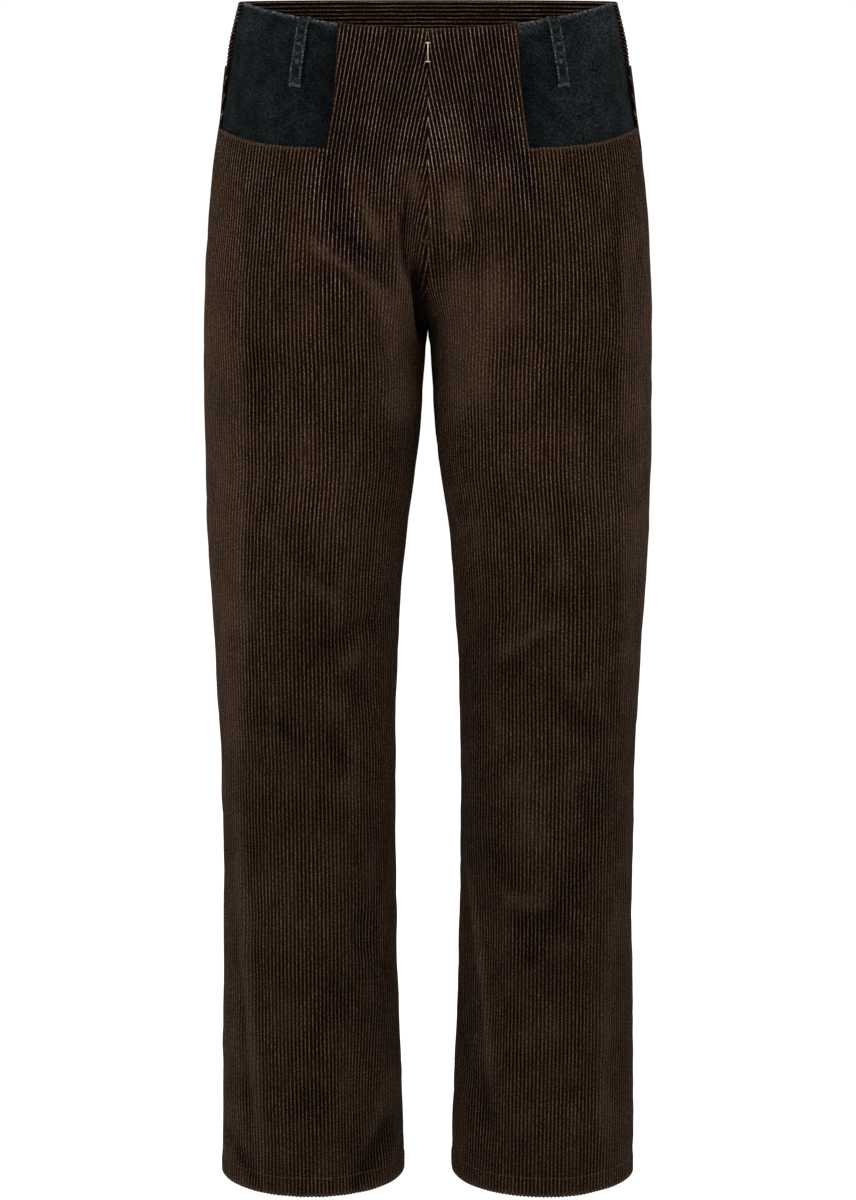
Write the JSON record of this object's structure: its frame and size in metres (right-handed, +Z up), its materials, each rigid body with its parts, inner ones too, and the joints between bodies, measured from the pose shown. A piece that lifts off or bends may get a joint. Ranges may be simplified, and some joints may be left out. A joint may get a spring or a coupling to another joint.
{
  "type": "straight-leg trousers",
  "caption": "Hollow straight-leg corduroy trousers in their worn shape, with black denim hip panels, belt loops and open waist and hems.",
  "frame": {"origin": "middle of the waist opening, half way down the back waistband, where the wearer's waist holds the trousers", "axes": "+Z up along the body, the wearer faces -Y, +X towards the wearer's left"},
  "size_m": [0.3898, 0.2463, 1.047],
  "materials": {
    "brown_corduroy": "wide-wale cotton corduroy, matt pile with a soft sheen",
    "black_denim": "blue-green black twill denim, worn paler at its edges",
    "pale_gold_metal": "satin pale gold plating"
  },
  "bodies": {
    "root": {"front_left": "brown_corduroy", "front_right": "brown_corduroy", "back_left": "brown_corduroy", "back_right": "brown_corduroy", "back_waistband": "brown_corduroy", "hip_panel_left": "black_denim", "hip_panel_right": "black_denim", "belt_loop_front_left": "black_denim", "belt_loop_front_right": "black_denim", "belt_loop_back_left": "black_denim", "belt_loop_back_right": "black_denim", "belt_loop_back_centre": "black_denim", "fly_shield": "brown_corduroy", "fly_bar": "pale_gold_metal"}
  },
  "joints": []
}
